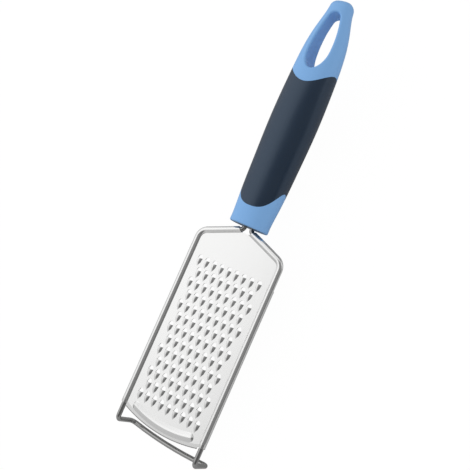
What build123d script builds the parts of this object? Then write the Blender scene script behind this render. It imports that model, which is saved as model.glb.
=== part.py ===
from build123d import *
from math import asin, atan2, cos, degrees, floor, hypot, radians, sin, tan
import os

os.makedirs("parts", exist_ok=True)

# Rasp zester: a flat plate of pierced teeth rolled on a bent wire frame, with a moulded handle.
# Frame: +Y along the tool towards the hanging eye, +X across it, +Z out of the grating face.
# The origin is below the middle of the tool, level with the underside of the foot.

# Wire frame
wire_diameter = 2.8
side_half_width = 27.3  # middle of the tool to the centre of a side wire
side_length = 117.7  # shoulder corner to foot bend
shoulder_angle = 21.0
shoulder_bend = 6.0
tang_half_gap = 2.5
tang_length = 42.0
neck_length = 2.0  # collar to neck corner
neck_bend = 2.6
leg_drop = 17.9
leg_rake = 1.7
foot_bend = 3.2
crossbar_bow = 2.6
crossbar_arc_share = 0.85

# Grating plate
sheet_thickness = 0.5
hem_wire_clearance = 0.1
hem_height = 0.6  # sheet above the wire's centre line
hem_crease_radius = 0.5  # where the sheet turns up into the hem
hem_slit = 0.4
hem_end_gap = 10.5  # foot bend to the hems' lower ends
corner_relief_run = 7.0  # shoulder corner to the relief's end, across the tool
corner_relief_length = 15.5  # shoulder corner to the relief's end, along the side
neck_cut_half_width = 2.8
neck_cut_drop = 3.8
neck_cut_angle = 45.0
apron_inset = 2.2  # side wire's centre to the apron's edge
apron_side_length = 1.6
apron_bow = 3.8

# Arc rib near the free end of the plate
rib_inset = 6.1  # side wire's centre to the rib's end, at its foot
rib_end_run = 1.1  # rib's end at its foot to its crest's end
rib_radius = 64.0
rib_edge_distance = 4.3
rib_width = 5.4
rib_crest_width = 0.6
rib_height = 1.2
rib_wall = 0.4

# Pierced teeth, in staggered rows
tooth_pitch = 5.0
tooth_row_pitch = 6.865
tooth_side_margin = 6.0  # least distance from a side wire's centre to a tooth
tooth_length = 4.8
tooth_width = 3.5
tooth_height = 1.45
tooth_wall = 0.4
tooth_hole_reach = 2.15
tooth_field_distance = 26.5  # collar to the first row's mouths
tooth_end_margin = 6.5  # least distance from the last row's mouths to the rib's ends
tooth_facets = 4
tooth_swell_share = 0.5  # along the tooth, where its slope changes
tooth_swell_scale_share = 0.76

# Handle
handle_length = 137.6
handle_rise = 0.6  # handle's centre line above the wire, at the collar
oval_fullness_share = 0.66  # pull of the oval's corners, where 0.55 gives an ellipse
collar_fillet = 0.9
tip_fillet = 4.4
station_shares = (0.0, 0.07, 0.16, 0.30, 0.46, 0.62, 0.76, 0.88, 1.0)
handle_half_width = 13.8
width_shares = (0.835, 0.85, 0.91, 0.96, 1.0, 0.976, 0.926, 0.735, 0.525)
handle_half_thickness = 11.5
thickness_shares = (0.84, 0.855, 0.91, 0.97, 1.0, 0.95, 0.76, 0.56, 0.50)
handle_lift = 3.4  # rise of the centre line from the collar to the tip
lift_shares = (0.0, 0.0, 0.0, 0.06, 0.18, 0.34, 0.57, 0.84, 1.0)
tang_clearance = 0.05

# Hanging eye through the handle's tip
eye_tip_distance = 8.1  # eye's upper end to the handle's tip
eye_length = 35.5
eye_half_width = 6.3
eye_widest_distance = 12.0  # eye's lower end to its widest place
eye_tip_radius = 3.4
eye_fillet = 1.0

# Soft grip in its recess; each edge dips in front and has its peak at the handle's side
grip_wall = 2.0
grip_clearance = 0.05
grip_foot_distance = 11.0  # collar to the lowest point of the grip's lower edge
grip_foot_bow = 18.9
grip_foot_flat_share = 0.5
grip_foot_knee_shares = (0.8, 0.155)
grip_eye_gap = 8.5  # lowest point of the grip's upper edge to the eye's lower end
grip_top_bow = 10.5
grip_top_flat_share = 0.4
grip_top_knee_shares = (0.8, 0.54)

# One overrun for every cut
overrun = 5.0

# Places that follow from the sizes above
wire_radius = wire_diameter / 2
shoulder_run = side_half_width - tang_half_gap
shoulder_drop = shoulder_run * tan(radians(shoulder_angle))
head_side_length = neck_length + shoulder_drop + side_length
crossbar_half_span = side_half_width
crossbar_turn = 2 * degrees(atan2(crossbar_bow, crossbar_half_span))
crossbar_tangent = crossbar_arc_share * hypot(crossbar_bow, crossbar_half_span)
crossbar_bend = crossbar_tangent / tan(radians(crossbar_turn / 2))
bow_lost_in_bend = crossbar_bend * (1 / cos(radians(crossbar_turn / 2)) - 1)
head_length = head_side_length + leg_rake + crossbar_bow - bow_lost_in_bend + wire_radius

collar_y = (head_length - handle_length) / 2
wire_z = leg_drop + wire_radius
sheet_z = wire_z + hem_height
neck_y = collar_y - neck_length
shoulder_y = neck_y - shoulder_drop
foot_y = shoulder_y - side_length
hem_end_y = foot_y + hem_end_gap
eye_foot_y = collar_y + handle_length - eye_tip_distance - eye_length
grip_foot_y = collar_y + grip_foot_distance
grip_top_y = eye_foot_y - grip_eye_gap

# Wire frame: one round wire, bent at nine corners
tang_top = (tang_half_gap, collar_y + tang_length, wire_z)
neck = (tang_half_gap, neck_y, wire_z)
shoulder = (side_half_width, shoulder_y, wire_z)
foot = (side_half_width, foot_y, wire_z)
toe = (side_half_width, foot_y - leg_rake, wire_z - leg_drop)
crossbar_middle = (0, foot_y - leg_rake - crossbar_bow, wire_z - leg_drop)
right_half = [tang_top, neck, shoulder, foot, toe]
left_half = [(-x, y, z) for x, y, z in reversed(right_half)]
corner_bends = [neck_bend, shoulder_bend, foot_bend, foot_bend]

with BuildPart() as wire_frame:
    with BuildLine() as wire_line:
        FilletPolyline(
            *right_half,
            crossbar_middle,
            *left_half,
            radius=[*corner_bends, crossbar_bend, *reversed(corner_bends)],
        )
    with BuildSketch(Plane(origin=tang_top, z_dir=(0, -1, 0))):
        Circle(wire_radius)
    sweep(path=wire_line.line)

wire_frame.part.label = "wire_frame"
export_step(wire_frame.part, "parts/wire_frame.step")

# Rolled hem: a slit ring drawn round the shoulder and down the side
hem_bore = wire_radius + hem_wire_clearance
hem_radius = hem_bore + sheet_thickness
hem_wall_middle = (hem_bore + hem_radius) / 2
hem_reach = (hem_wall_middle**2 - hem_height**2) ** 0.5
hem_start_x = neck_cut_half_width - sheet_thickness
hem_start = (hem_start_x, shoulder_y + (side_half_width - hem_start_x) * tan(radians(shoulder_angle)), wire_z)
hem_end = (side_half_width, hem_end_y, wire_z)
slope = radians(shoulder_angle)
hem_plane = Plane(origin=hem_start, x_dir=(sin(slope), cos(slope), 0), z_dir=(cos(slope), -sin(slope), 0))
slit_y = hem_height - (sheet_thickness + hem_slit) / 2
crease_reach = hem_radius + hem_crease_radius
crease_y = hem_height + sheet_thickness / 2 + hem_crease_radius
crease_x = -((crease_reach**2 - crease_y**2) ** 0.5)
crease_top = (crease_x * hem_radius / crease_reach, crease_y * hem_radius / crease_reach)
crease_root = (crease_x * hem_wall_middle / crease_reach, crease_y * hem_wall_middle / crease_reach)

with BuildPart() as rolled_hem:
    with BuildLine() as hem_line:
        FilletPolyline(hem_start, shoulder, hem_end, radius=shoulder_bend)
    with BuildSketch(hem_plane):
        Circle(hem_radius)
        Circle(hem_bore, mode=Mode.SUBTRACT)
        with Locations((-hem_wall_middle, slit_y)):
            Rectangle(hem_wall_middle, hem_slit, mode=Mode.SUBTRACT)
        with BuildLine():
            RadiusArc(crease_top, (crease_x, crease_y - hem_crease_radius), hem_crease_radius)
            Polyline(
                (crease_x, crease_y - hem_crease_radius),
                (crease_x, hem_height),
                (-hem_reach, hem_height),
                crease_root,
                crease_top,
            )
        make_face()
    sweep(path=hem_line.line)
    mirror(about=Plane.YZ)

# Outline of the flat sheet between the hems, with its bowed free end
sheet_half_width = side_half_width - hem_reach
sheet_apex_y = neck_y + tang_half_gap * tan(slope) - hem_reach / cos(slope)
sheet_corner_y = sheet_apex_y - sheet_half_width * tan(slope)
apron_half_width = side_half_width - apron_inset
apron_corner_y = hem_end_y - apron_side_length
apron_y = apron_corner_y - apron_bow
sheet_bottom_z = sheet_z - sheet_thickness / 2
sheet_top_z = sheet_z + sheet_thickness / 2
rib_y = apron_y + rib_edge_distance
rib_foot_end_x = side_half_width - rib_inset
rib_crest_end_x = rib_foot_end_x - rib_end_run
rib_end_y = rib_y + rib_radius - (rib_radius**2 - rib_crest_end_x**2) ** 0.5

# One pierced tooth: a facetted half cone with its mouth towards the handle
tooth_lead = tooth_wall / 2


def arch(half_width, height, depth):
    """Corners of an arched doorway whose sides reach depth below its sill."""
    turns = [radians(180 * i / tooth_facets) for i in range(tooth_facets + 1)]
    curve = [(half_width * cos(turn), height * sin(turn)) for turn in turns]
    return curve + [(-half_width, -depth), (half_width, -depth)]


def half_cone(half_width, height, depth, mouth_y, sill_z):
    """Half cone from an arched mouth to a point at the tooth's tip."""
    length = mouth_y + tooth_length
    with BuildPart() as cone:
        for step, scale in ((0, 1), (tooth_swell_share, tooth_swell_scale_share)):
            station = Plane((0, mouth_y - step * length, sill_z), x_dir=(1, 0, 0), z_dir=(0, -1, 0))
            with BuildSketch(station):
                Polygon(*arch(half_width * scale, height * scale, depth * scale), align=None)
        loft(sections=[*cone.pending_faces, Vertex(0, -tooth_length, sill_z)], ruled=True)
    return cone.part


tooth_outer = half_cone(tooth_width / 2, tooth_height, sheet_thickness / 2, 0, sheet_top_z)
tooth_half_bore = tooth_width / 2 - tooth_wall
tooth_bore_height = tooth_height + sheet_thickness - tooth_wall

with BuildPart() as tooth_hollow:
    add(half_cone(tooth_half_bore, tooth_bore_height, sheet_thickness, tooth_lead, sheet_bottom_z))
    with BuildSketch(Plane((0, tooth_lead + tooth_wall, sheet_bottom_z - sheet_thickness))):
        Polygon(*arch(tooth_half_bore, tooth_hole_reach - tooth_lead - tooth_wall, tooth_wall), align=None)
    extrude(amount=3 * sheet_thickness)

first_row_y = collar_y - tooth_field_distance
tooth_rows = 1 + floor((first_row_y - rib_end_y - tooth_end_margin) / tooth_row_pitch)
tooth_columns = 1 + floor(2 * (side_half_width - tooth_side_margin) / tooth_pitch)

tooth_spots = []
for row in range(tooth_rows):
    row_y = first_row_y - row * tooth_row_pitch
    count = tooth_columns - row % 2
    tooth_spots += [((column - (count - 1) / 2) * tooth_pitch, row_y, 0) for column in range(count)]

# Arc rib: a low roof that follows an arc, pressed up from below


def rib_slot(end_x, width):
    """Slot along the rib's arc, of the given width, that ends at end_x on both sides."""
    span = 2 * degrees(asin((end_x - width / 2) / rib_radius))
    with BuildSketch() as slot:
        with Locations((0, rib_y + rib_radius)):
            SlotArc(CenterArc((0, 0), rib_radius, -90 - span / 2, span, mode=Mode.PRIVATE), width)
    return slot.sketch


def rib_roof(wall, foot_z):
    """Roof of the rib drawn in by wall, from a wide slot at foot_z up to a narrow crest."""
    with BuildPart() as roof:
        with BuildSketch(Plane.XY.offset(foot_z)):
            add(rib_slot(rib_foot_end_x - wall, rib_width - 2 * wall))
        with BuildSketch(Plane.XY.offset(foot_z + rib_height)):
            add(rib_slot(rib_crest_end_x, rib_crest_width))
        loft(ruled=True)
    return roof.part


# Grating plate: the sheet, its hems, the rib and the teeth
with BuildPart() as grating_plate:
    with BuildSketch(Plane.XY.offset(sheet_bottom_z)):
        with BuildLine():
            Polyline(
                (apron_half_width, apron_corner_y),
                (apron_half_width, hem_end_y),
                (sheet_half_width, hem_end_y),
                (sheet_half_width, sheet_corner_y),
                (0, sheet_apex_y),
                (-sheet_half_width, sheet_corner_y),
                (-sheet_half_width, hem_end_y),
                (-apron_half_width, hem_end_y),
                (-apron_half_width, apron_corner_y),
            )
            ThreePointArc((-apron_half_width, apron_corner_y), (0, apron_y), (apron_half_width, apron_corner_y))
        make_face()
    extrude(amount=sheet_thickness)
    shoulder_edges = grating_plate.edges().filter_by(Axis.Z).group_by(Axis.X)
    side_edges = [shoulder_edges[0].sort_by(Axis.Y)[-1], shoulder_edges[-1].sort_by(Axis.Y)[-1]]
    fillet(side_edges, shoulder_bend - hem_reach)
    add(rolled_hem.part)
    with BuildSketch(Plane.XY.offset(sheet_bottom_z)):
        with Locations((side_half_width - corner_relief_run, shoulder_y - corner_relief_length)):
            Rectangle(
                corner_relief_run + hem_radius + overrun, corner_relief_length + corner_relief_run, align=Align.MIN
            )
        mirror(about=Plane.YZ)
    extrude(amount=-hem_radius - overrun, mode=Mode.SUBTRACT)
    with BuildSketch(Plane.XY.offset(sheet_z - overrun)):
        with Locations((0, collar_y - neck_cut_drop)):
            Trapezoid(
                2 * (neck_cut_half_width + neck_cut_drop / tan(radians(neck_cut_angle))),
                neck_cut_drop,
                neck_cut_angle,
                rotation=180,
                align=(Align.CENTER, Align.MAX),
            )
    extrude(amount=2 * overrun, mode=Mode.SUBTRACT)
    add(rib_roof(0, sheet_top_z))
    add(rib_roof(rib_wall, sheet_bottom_z), mode=Mode.SUBTRACT)
    with Locations(*tooth_spots):
        add(tooth_outer)
    with Locations(*tooth_spots):
        add(tooth_hollow.part, mode=Mode.SUBTRACT)

grating_plate.part.label = "grating_plate"
export_step(grating_plate.part, "parts/grating_plate.step")

# Handle: one moulded body of soft ovals whose centre line rises towards the tip
collar_z = wire_z + handle_rise


def oval(half_width, half_thickness):
    """Closed oval of four equal quarters, a little fuller than an ellipse."""
    with BuildSketch() as face:
        with BuildLine():
            Bezier(
                (half_width, 0),
                (half_width, oval_fullness_share * half_thickness),
                (oval_fullness_share * half_width, half_thickness),
                (0, half_thickness),
            )
            mirror(about=Plane.YZ)
            mirror(about=Plane.XZ)
        make_face()
    return face.sketch


def handle_body(wall):
    """Solid of the handle's outer form, drawn in by wall."""
    with BuildPart() as body:
        for station, width, thickness, lift in zip(station_shares, width_shares, thickness_shares, lift_shares):
            centre = (0, collar_y + station * handle_length, collar_z + lift * handle_lift)
            with BuildSketch(Plane(centre, x_dir=(1, 0, 0), z_dir=(0, -1, 0))):
                add(oval(handle_half_width * width - wall, handle_half_thickness * thickness - wall))
        loft()
    return body.part


def grip_edge(low_y, bow, flat_share, knee_shares):
    """One half of a grip edge seen from the front, from its dip to the handle's side."""
    return Bezier(
        (0, low_y),
        (flat_share * handle_half_width, low_y),
        (knee_shares[0] * handle_half_width, low_y + knee_shares[1] * bow),
        (handle_half_width, low_y + bow),
    )


def grip_band(play):
    """Prism between the grip's two edges, each drawn in by play."""
    reach = handle_half_width + overrun
    with BuildPart() as band:
        with BuildSketch(Plane.XY.offset(collar_z - handle_half_thickness - overrun)):
            with BuildLine():
                foot_edge = grip_edge(
                    grip_foot_y + play, grip_foot_bow, grip_foot_flat_share, grip_foot_knee_shares
                )
                top_edge = grip_edge(
                    grip_top_y - play, grip_top_bow, grip_top_flat_share, grip_top_knee_shares
                )
                Polyline(foot_edge @ 1, (reach, (foot_edge @ 1).Y), (reach, (top_edge @ 1).Y), top_edge @ 1)
                mirror(about=Plane.YZ)
            make_face()
        extrude(amount=2 * (handle_half_thickness + overrun))
    return band.part


# Hard core: the whole handle less the grip's recess, the hanging eye and the tang bores
eye_wide_y = eye_foot_y + eye_widest_distance
eye_tip_centre_y = eye_foot_y + eye_length - eye_tip_radius
eye_rise = eye_tip_centre_y - eye_wide_y
eye_side_radius = (eye_rise**2 + eye_half_width**2 - eye_tip_radius**2) / (2 * (eye_half_width - eye_tip_radius))
eye_side_turn = degrees(atan2(eye_rise, eye_side_radius - eye_half_width))

handle_form = handle_body(0)
grip_floor = handle_body(grip_wall)

with BuildPart() as handle_core:
    add(handle_form)
    fillet(handle_core.faces().sort_by(Axis.Y)[0].edges(), collar_fillet)
    fillet(handle_core.faces().sort_by(Axis.Y)[-1].edges(), tip_fillet)
    with BuildSketch(Plane.XY.offset(collar_z - handle_half_thickness - overrun)):
        with BuildLine():
            EllipticalCenterArc((0, eye_wide_y), eye_half_width, eye_widest_distance, -90, arc_size=90)
            CenterArc((eye_half_width - eye_side_radius, eye_wide_y), eye_side_radius, 0, eye_side_turn)
            CenterArc((0, eye_tip_centre_y), eye_tip_radius, eye_side_turn, 90 - eye_side_turn)
            mirror(about=Plane.YZ)
        make_face()
    extrude(amount=2 * (handle_half_thickness + overrun), mode=Mode.SUBTRACT)
    eye_wall = handle_core.faces(Select.LAST).filter_by(GeomType.BSPLINE, reverse=True)
    fillet(eye_wall.edges().filter_by(GeomType.LINE, reverse=True), eye_fillet)
    with BuildSketch(Plane((0, collar_y, wire_z), x_dir=(1, 0, 0), z_dir=(0, -1, 0))):
        with Locations((-tang_half_gap, 0), (tang_half_gap, 0)):
            Circle(wire_radius + tang_clearance)
    extrude(amount=-tang_length - tang_clearance, mode=Mode.SUBTRACT)
    add(grip_band(0) - grip_floor, mode=Mode.SUBTRACT)

handle_core.part.label = "handle_core"
export_step(handle_core.part, "parts/handle_core.step")

# Soft grip: what the recess took away, less its clearance
with BuildPart() as grip_sleeve:
    add(handle_form)
    add(grip_band(grip_clearance), mode=Mode.INTERSECT)
    add(handle_body(grip_wall - grip_clearance), mode=Mode.SUBTRACT)

grip_sleeve.part.label = "grip_sleeve"
export_step(grip_sleeve.part, "parts/grip_sleeve.step")
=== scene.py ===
"""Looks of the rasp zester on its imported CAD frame: materials, studio light, floor and camera."""

from math import radians

import bpy
from mathutils import Euler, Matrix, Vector


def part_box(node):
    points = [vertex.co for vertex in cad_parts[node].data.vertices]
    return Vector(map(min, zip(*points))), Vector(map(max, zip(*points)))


MM = 0.001
WHITE = (1, 1, 1, 1)

# Camera: the photograph's, which looks down on the grating face from the +X side
PHOTO_SIZE_PX = 470
FOCAL_LENGTH_PX = 667.7
SENSOR_MM = 36.0
CAMERA_FROM_COLLAR_MM = Vector((163.47, -23.13, 335.12))
CAMERA_TURN_DEG = (13.744, 23.348, 26.147)
CAMERA_NEAR_M = 0.01
SHEET_BELOW_WIRE_TOP_MM = 0.8

# Colours, linear
LIGHT_BLUE = (0.170, 0.368, 0.680, 1)
LIGHT_BLUE_WORN = (0.184, 0.385, 0.695, 1)
NAVY = (0.003, 0.014, 0.036, 1)
NAVY_DUSTY = (0.005, 0.017, 0.040, 1)
GRIP_SHEEN = (0.70, 0.84, 1.0, 1)
GRIP_SHEEN_LEVEL = 1.0
WIRE_STEEL = (0.44, 0.44, 0.435, 1)
SHEET_STEEL = (0.95, 0.95, 0.945)

# Noise: cells per metre, detail and, for the rolled lines, how much finer it is along each axis
NOISE_SPAN = (0.3, 0.7)
PLASTIC_CLOUD = (60, 3)
PLASTIC_GRAIN = (2600, 2)
GRIP_CLOUD = (90, 4)
GRIP_GRAIN = (1900, 4)
WIRE_MARKS = (700, 3)
SHEET_LINES = (100, 4, (60, 1, 60))

# Roughness, from the least to the most
PLASTIC_ROUGHNESS = (0.36, 0.46)
GRIP_ROUGHNESS = (0.30, 0.34)
WIRE_ROUGHNESS = (0.11, 0.18)
SHEET_ROUGHNESS = (0.18, 0.22)

# Bump: depth in millimetres and strength
MOULDED_BUMP = (0.02, 0.25)
WIRE_BUMP = (0.006, 0.2)
SHEET_BUMP = (0.002, 0.08)

# Collar's end face: painted shade, a little darker than its sides and darkest in a patch round the wires
END_SHADE = 0.8
END_SHADE_MM = (0.03, 0.20)
WIRES_SHADE = 0.16
WIRES_SHADE_MM = (6.0, 14.0)
WIRES_SHADE_STRETCH = (1.0, 0.0, 2.4)
WIRES_SHADE_LIFT_MM = 1.3

# Places on the plate, from its free edge and from its middle line
TOOTH_FIELD_MM = (9.0, 99.0)
TOOTH_FIELD_HALF_MM = 23.5
RIB_FROM_EDGE_MM = 4.3
RIB_RADIUS_MM = 64.0
RIB_HALF_WIDTH_MM = 2.7
EDGE_RADIUS_MM = 84.8

# Shading of the plate: eased teeth, a strip beyond the rib that leans down, and a painted dark reflection
# along the cut edge
TOOTH_EASE = 0.9
STRIP_LEAN = 0.12
CUT_EDGE_MM = (0.60, 0.20)
EDGE_REFLECTION_GREY = 0.25

# Edges of the plate: those of the teeth and the rib blend up to an angle, flat faces stay crisp
WELD_MM = 0.001
RIB_EDGE_LIMIT_DEG = 32
TOOTH_EDGE_LIMIT_DEG = 41
FLAT_NORMAL_SHARE = 0.999
SHEET_REACH_MM = 0.27

# Floor: white paint, darker in reflections, that glows almost white to the camera
FLOOR_SIZE_M = 6
FLOOR_WHITE = 0.9
FLOOR_IN_REFLECTIONS = 0.45
CAMERA_GLOW = 1.01
CAMERA_GLOW_SHARE = 0.96

# Studio: a white dome with dark panels, each a direction, half width and soft edge in degrees, and grey
DOME_LEVEL = 1.0
DARK_PANELS = [
    (Vector((0.54, -0.05, 0.84)), 42, 15, 0.23),
    (Vector((1.0, 0.0, 0.10)), 14, 12, 0.38),
    (Vector((0.0, -1.0, 0.0)), 50, 38, 0.52),
    (Vector((0.15, 0.98, 0.10)), 12, 30, 0.15),
    (Vector((-1.0, 0.0, -0.15)), 15, 50, 0.75),
    (Vector((-0.30, 0.60, 0.74)), 9, 16, 0.86),
    (Vector((-0.45, 0.87, 0.12)), 14, 14, 0.22),
]
MATT_SKY_LEVELS = (0.85, 1.0)
KEY_SIZE_M = 0.5
KEY_PLACE_M = Vector((-0.85, 0.15, 0.50))
KEY_POWER_W = 2.5

# Colour sockets of the Mix node: two inputs and the output
MIX_FIRST = 6
MIX_SECOND = 7
MIX_RESULT = 2


class Nodes:
    """Short way to build a node tree: add a node, set its inputs, join it on."""

    def __init__(self, tree):
        self.tree = tree
        tree.nodes.clear()

    def add(self, kind, inputs=None, **settings):
        """New node. An input given as a socket is linked, and any other is set."""
        node = self.tree.nodes.new(kind)
        for name, value in settings.items():
            setattr(node, name, value)
        for name, value in (inputs or {}).items():
            if isinstance(value, bpy.types.NodeSocket):
                self.tree.links.new(value, node.inputs[name])
            else:
                node.inputs[name].default_value = value
        return node

    def calc(self, operation, *values):
        """Result of an operation on numbers."""
        return self.add("ShaderNodeMath", dict(enumerate(values)), operation=operation).outputs["Value"]

    def vector(self, operation, *values):
        """Outputs of an operation on vectors."""
        return self.add("ShaderNodeVectorMath", dict(enumerate(values)), operation=operation).outputs

    def scaled(self, vector, factor):
        """Vector times a number."""
        inputs = {0: vector, "Scale": factor}
        return self.add("ShaderNodeVectorMath", inputs, operation="SCALE").outputs["Vector"]

    def ramp(self, value, span, levels, shape="LINEAR"):
        """Value mapped from a span to two levels, which hold beyond its ends."""
        inputs = {"Value": value, "From Min": span[0], "From Max": span[1]}
        inputs |= {"To Min": levels[0], "To Max": levels[1]}
        return self.add("ShaderNodeMapRange", inputs, interpolation_type=shape).outputs["Result"]

    def place(self):
        """The object's own coordinates, in metres."""
        return self.add("ShaderNodeTexCoord").outputs["Object"]

    def parts(self, vector):
        """X, Y and Z of a vector."""
        return self.add("ShaderNodeSeparateXYZ", {"Vector": vector}).outputs


def sheet_height():
    """Height of the sheet's middle, in metres."""
    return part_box("wire_frame")[1].z - SHEET_BELOW_WIRE_TOP_MM * MM


def from_free_edge(distance_mm):
    """Place along the tool of a line at a distance from the plate's free edge, in metres."""
    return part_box("grating_plate")[0].y + distance_mm * MM


def stretched_noise(nodes, scale, detail, stretch=(1, 1, 1)):
    """Noise in the object's own metres, finer along the axes with a larger stretch."""
    mapped = nodes.add("ShaderNodeMapping", {"Vector": nodes.place(), "Scale": stretch}).outputs["Vector"]
    inputs = {"Vector": mapped, "Scale": scale, "Detail": detail}
    return nodes.add("ShaderNodeTexNoise", inputs).outputs["Fac"]


def blended(nodes, noise, first, second):
    """Colour that wanders between two near colours."""
    inputs = {"Factor": noise, MIX_FIRST: first, MIX_SECOND: second}
    return nodes.add("ShaderNodeMix", inputs, data_type="RGBA").outputs[MIX_RESULT]


def raised(nodes, height, bump, normal=None):
    """Bump of a real depth."""
    depth_mm, strength = bump
    inputs = {"Height": height, "Distance": depth_mm * MM, "Strength": strength}
    if normal:
        inputs["Normal"] = normal
    return nodes.add("ShaderNodeBump", inputs).outputs["Normal"]


def new_material(name):
    """New material and its empty node tree."""
    material = bpy.data.materials.new(name)
    material.use_nodes = True
    return material, Nodes(material.node_tree)


def surface(name, build):
    """New material whose principled shader gets what build(nodes) returns."""
    material, nodes = new_material(name)
    shader = nodes.add("ShaderNodeBsdfPrincipled", build(nodes))
    nodes.add("ShaderNodeOutputMaterial", {"Surface": shader.outputs["BSDF"]})
    return material


def painted_end_shade(nodes, colour):
    """Paints shade on the collar's end face, most of all round the wires, where the plate's shadow falls.
    """
    end_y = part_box("handle_core")[0].y
    place = nodes.place()
    wires = Vector((0, end_y, sheet_height() + WIRES_SHADE_LIFT_MM * MM))
    aside = nodes.vector("SUBTRACT", place, wires)["Vector"]
    flattened = nodes.vector("MULTIPLY", aside, WIRES_SHADE_STRETCH)["Vector"]
    away = nodes.vector("LENGTH", flattened)["Value"]
    reach = [distance * MM for distance in WIRES_SHADE_MM]
    shade = nodes.ramp(away, reach, (WIRES_SHADE, END_SHADE), "SMOOTHSTEP")
    span = [end_y + depth * MM for depth in END_SHADE_MM]
    return nodes.scaled(colour, nodes.ramp(nodes.parts(place)["Y"], span, (shade, 1)))


def hard_plastic(nodes):
    """Light blue moulding: semi-gloss, with a very fine mould texture."""
    cloud = stretched_noise(nodes, *PLASTIC_CLOUD)
    grain = stretched_noise(nodes, *PLASTIC_GRAIN)
    return {
        # Base colour with painted shade on the collar's end face
        "Base Color": painted_end_shade(nodes, blended(nodes, cloud, LIGHT_BLUE, LIGHT_BLUE_WORN)),
        "Roughness": nodes.ramp(grain, NOISE_SPAN, PLASTIC_ROUGHNESS),
        "Normal": raised(nodes, grain, MOULDED_BUMP),
    }


def soft_grip(nodes):
    """Navy elastomer: satin, with a fine skin grain."""
    cloud = stretched_noise(nodes, *GRIP_CLOUD)
    grain = stretched_noise(nodes, *GRIP_GRAIN)
    return {
        "Base Color": blended(nodes, cloud, NAVY, NAVY_DUSTY),
        "Roughness": nodes.ramp(cloud, NOISE_SPAN, GRIP_ROUGHNESS),
        "Normal": raised(nodes, grain, MOULDED_BUMP),
        "Specular IOR Level": GRIP_SHEEN_LEVEL,
        "Specular Tint": GRIP_SHEEN,
    }


def steel_wire(nodes):
    """Drawn and polished stainless wire."""
    marks = stretched_noise(nodes, *WIRE_MARKS)
    return {
        "Base Color": WIRE_STEEL,
        "Metallic": 1,
        "Roughness": nodes.ramp(marks, NOISE_SPAN, WIRE_ROUGHNESS),
        "Normal": raised(nodes, marks, WIRE_BUMP),
    }


def beyond_arc(nodes, centre_y, radius):
    """Distance outside an arc round a point on the plate's middle line, in metres."""
    level = nodes.vector("MULTIPLY", nodes.place(), (1, 1, 0))["Vector"]
    away = nodes.vector("DISTANCE", level, (0, centre_y, 0))["Value"]
    return nodes.calc("SUBTRACT", away, radius)


def painted_edge_reflection(nodes):
    """Colour of the sheet, with a painted dark reflection along its cut free edge."""
    beyond = beyond_arc(nodes, from_free_edge(EDGE_RADIUS_MM), EDGE_RADIUS_MM * MM)
    span = [-depth * MM for depth in CUT_EDGE_MM]
    return nodes.scaled(SHEET_STEEL, nodes.ramp(beyond, span, (1, EDGE_REFLECTION_GREY)))


def in_tooth_field(nodes, parts):
    """One among the teeth, nought elsewhere."""
    field_start, field_end = [from_free_edge(distance) for distance in TOOTH_FIELD_MM]
    across = nodes.calc("LESS_THAN", nodes.calc("ABSOLUTE", parts["X"]), TOOTH_FIELD_HALF_MM * MM)
    above = nodes.calc("GREATER_THAN", parts["Y"], field_start)
    below = nodes.calc("LESS_THAN", parts["Y"], field_end)
    return nodes.calc("MULTIPLY", across, nodes.calc("MULTIPLY", above, below))


def on_strip(nodes, parts):
    """One on the strip between the rib and the free edge, nought elsewhere."""
    centre_y = from_free_edge(RIB_FROM_EDGE_MM + RIB_RADIUS_MM)
    beyond = beyond_arc(nodes, centre_y, (RIB_RADIUS_MM + RIB_HALF_WIDTH_MM) * MM)
    low = nodes.calc("LESS_THAN", parts["Y"], from_free_edge(TOOTH_FIELD_MM[0]))
    return nodes.calc("MULTIPLY", low, nodes.calc("GREATER_THAN", beyond, 0))


def eased_normal(nodes):
    """Shading normal of the plate, flatter on the teeth and leaning to the free edge on the strip."""
    parts = nodes.parts(nodes.place())
    ease = nodes.scaled((0, 0, TOOTH_EASE), in_tooth_field(nodes, parts))
    lean = nodes.scaled((0, -STRIP_LEAN, 0), on_strip(nodes, parts))
    change = nodes.vector("ADD", lean, ease)["Vector"]
    normal = nodes.add("ShaderNodeNewGeometry").outputs["Normal"]
    return nodes.vector("NORMALIZE", nodes.vector("ADD", normal, change)["Vector"])["Vector"]


def steel_sheet(nodes):
    """Bright rolled sheet with faint lines along the rolling direction."""
    lines = stretched_noise(nodes, *SHEET_LINES)
    return {
        # Base colour with a painted dark reflection along the cut edge
        "Base Color": painted_edge_reflection(nodes),
        "Metallic": 1,
        "Roughness": nodes.ramp(lines, NOISE_SPAN, SHEET_ROUGHNESS),
        "Normal": raised(nodes, lines, SHEET_BUMP, eased_normal(nodes)),
    }


def dress(frame):
    """Gives each CAD node its material."""
    looks = {
        "handle_core": hard_plastic,
        "grip_sleeve": soft_grip,
        "wire_frame": steel_wire,
        "grating_plate": steel_sheet,
    }
    for node, build in looks.items():
        mesh = frame["nodes"][node].data
        mesh.materials.clear()
        mesh.materials.append(surface(node + "_look", build))


def is_over(nodes, value, limit):
    """True in a geometry tree where a value is over a limit."""
    return nodes.add("FunctionNodeCompare", {"A": value, "B": limit}).outputs["Result"]


def sharp_edges(nodes, place):
    """True on edges that bend more than the rib's or, above the rib, the teeth's facets do."""
    limits = {"False": radians(RIB_EDGE_LIMIT_DEG), "True": radians(TOOTH_EDGE_LIMIT_DEG)}
    above_rib = is_over(nodes, place["Y"], from_free_edge(TOOTH_FIELD_MM[0]))
    limit = nodes.add("GeometryNodeSwitch", {"Switch": above_rib, **limits}, input_type="FLOAT")
    bend = nodes.add("GeometryNodeInputMeshEdgeAngle").outputs["Unsigned Angle"]
    return is_over(nodes, bend, limit.outputs["Output"])


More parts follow.
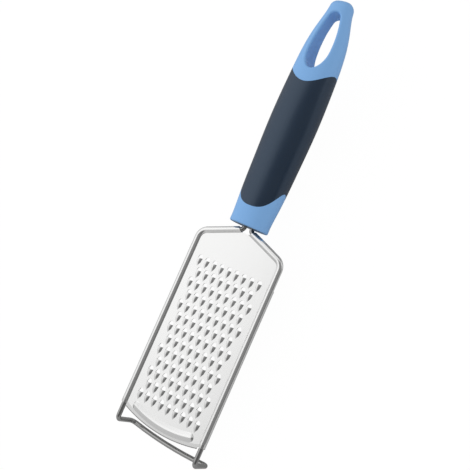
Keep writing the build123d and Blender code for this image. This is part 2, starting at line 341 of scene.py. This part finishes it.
def flat_faces(nodes, place):
    """True on the level faces of the sheet itself."""
    normal = nodes.add("GeometryNodeInputNormal").outputs["Normal"]
    level = is_over(nodes, nodes.calc("ABSOLUTE", nodes.parts(normal)["Z"]), FLAT_NORMAL_SHARE)
    height = nodes.calc("ABSOLUTE", nodes.calc("SUBTRACT", place["Z"], sheet_height()))
    inputs = {0: level, 1: is_over(nodes, height, SHEET_REACH_MM * MM)}
    return nodes.add("FunctionNodeBooleanMath", inputs, operation="NIMPLY").outputs["Boolean"]


def round_teeth(plate):
    """Shades the facets of each tooth as one round form; sharp edges and the flat sheet stay crisp."""
    tree = bpy.data.node_groups.new("round_teeth", "GeometryNodeTree")
    for direction in ("INPUT", "OUTPUT"):
        tree.interface.new_socket("Geometry", in_out=direction, socket_type="NodeSocketGeometry")
    nodes = Nodes(tree)
    source = nodes.add("NodeGroupInput").outputs["Geometry"]
    welded = nodes.add("GeometryNodeMergeByDistance", {"Geometry": source, "Distance": WELD_MM * MM})
    place = nodes.parts(nodes.add("GeometryNodeInputPosition").outputs["Position"])
    inputs = {
        "Mesh": welded.outputs["Geometry"],
        "Remove Custom": True,
        "Edge Sharpness": sharp_edges(nodes, place),
        "Face Sharpness": flat_faces(nodes, place),
    }
    shaded = nodes.add("GeometryNodeSetMeshNormal", inputs, mode="SHARPNESS").outputs["Mesh"]
    nodes.add("NodeGroupOutput", {"Geometry": shaded})
    plate.modifiers.new("round_teeth", "NODES").node_group = tree


def seen_plainly(nodes, rays):
    """One for a ray straight from the camera or through glass, nought for the rest."""
    return nodes.calc("MAXIMUM", rays["Is Camera Ray"], rays["Is Transmission Ray"])


def white_floor():
    """White floor under the foot: pure white to the camera, with a faint trace of the shadow."""
    bpy.ops.mesh.primitive_plane_add(size=FLOOR_SIZE_M, location=(0, 0, 0))
    floor = bpy.context.object
    floor.name = "floor"
    material, nodes = new_material("floor_white")
    rays = nodes.add("ShaderNodeLightPath").outputs
    white = nodes.ramp(rays["Is Glossy Ray"], (0, 1), (FLOOR_WHITE, FLOOR_IN_REFLECTIONS))
    paint = nodes.add("ShaderNodeBsdfDiffuse", {"Color": white}).outputs["BSDF"]
    glow = nodes.add("ShaderNodeEmission", {"Color": WHITE, "Strength": CAMERA_GLOW}).outputs["Emission"]
    share = nodes.calc("MULTIPLY", seen_plainly(nodes, rays), CAMERA_GLOW_SHARE)
    mix = nodes.add("ShaderNodeMixShader", {"Fac": share, 1: paint, 2: glow}).outputs["Shader"]
    nodes.add("ShaderNodeOutputMaterial", {"Surface": mix})
    floor.data.materials.append(material)


def panel(nodes, way, direction, half_width, soft_edge, grey):
    """Share of the light that a round soft-edged panel of the sky leaves, in each direction."""
    angle = nodes.calc("ARCCOSINE", nodes.vector("DOT_PRODUCT", way, direction.normalized())["Value"])
    span = (radians(half_width), radians(half_width + soft_edge))
    return nodes.ramp(angle, span, (grey, 1), "SMOOTHSTEP")


def studio_dome():
    """World: plain white to the camera, and a white dome with soft dark panels to the materials."""
    world = bpy.data.worlds.new("studio")
    bpy.context.scene.world = world
    world.use_nodes = True
    nodes = Nodes(world.node_tree)
    way = nodes.add("ShaderNodeTexCoord").outputs["Generated"]
    level = DOME_LEVEL
    for dark_panel in DARK_PANELS:
        level = nodes.calc("MULTIPLY", level, panel(nodes, way, *dark_panel))
    rays = nodes.add("ShaderNodeLightPath").outputs
    matt = nodes.ramp(level, (0, 1), MATT_SKY_LEVELS)
    seen = nodes.add("ShaderNodeMix", {"Factor": rays["Is Diffuse Ray"], "A": level, "B": matt})
    inputs = {"Color": WHITE, "Strength": seen.outputs["Result"]}
    sky = nodes.add("ShaderNodeBackground", inputs).outputs["Background"]
    plain = nodes.add("ShaderNodeBackground", {"Color": WHITE}).outputs["Background"]
    mix = nodes.add("ShaderNodeMixShader", {"Fac": seen_plainly(nodes, rays), 1: sky, 2: plain})
    nodes.add("ShaderNodeOutputWorld", {"Surface": mix.outputs["Shader"]})


def key_light():
    """One large soft lamp from the upper left, which the steel doesn't reflect."""
    lamp = bpy.data.lights.new("key", "AREA")
    lamp.shape = "DISK"
    lamp.size = KEY_SIZE_M
    lamp.energy = KEY_POWER_W
    key = bpy.data.objects.new("key", lamp)
    key.location = KEY_PLACE_M
    key.visible_glossy = False
    key.rotation_euler = (-KEY_PLACE_M).to_track_quat("-Z", "Y").to_euler()
    bpy.context.scene.collection.objects.link(key)


def photo_camera():
    """Camera at the photograph's place, measured from the collar and the sheet's middle."""
    lens = bpy.data.cameras.new("photo")
    lens.sensor_width = SENSOR_MM
    lens.lens = FOCAL_LENGTH_PX / PHOTO_SIZE_PX * SENSOR_MM
    lens.clip_start = CAMERA_NEAR_M
    camera = bpy.data.objects.new("photo", lens)
    collar_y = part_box("handle_core")[0].y
    camera.location = Vector((0, collar_y, sheet_height())) + CAMERA_FROM_COLLAR_MM * MM
    camera.rotation_euler = Euler([radians(turn) for turn in CAMERA_TURN_DEG])
    bpy.context.scene.collection.objects.link(camera)
    bpy.context.scene.camera = camera


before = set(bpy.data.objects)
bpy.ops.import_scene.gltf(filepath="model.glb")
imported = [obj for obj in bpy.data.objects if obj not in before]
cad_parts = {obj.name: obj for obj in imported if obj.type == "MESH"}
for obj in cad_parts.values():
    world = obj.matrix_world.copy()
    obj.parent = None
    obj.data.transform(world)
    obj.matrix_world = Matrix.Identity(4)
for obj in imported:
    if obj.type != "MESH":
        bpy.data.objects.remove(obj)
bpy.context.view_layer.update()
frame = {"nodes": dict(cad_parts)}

dress(frame)
round_teeth(frame["nodes"]["grating_plate"])
white_floor()
studio_dome()
key_light()
photo_camera()
bpy.context.scene.view_settings.view_transform = "Standard"
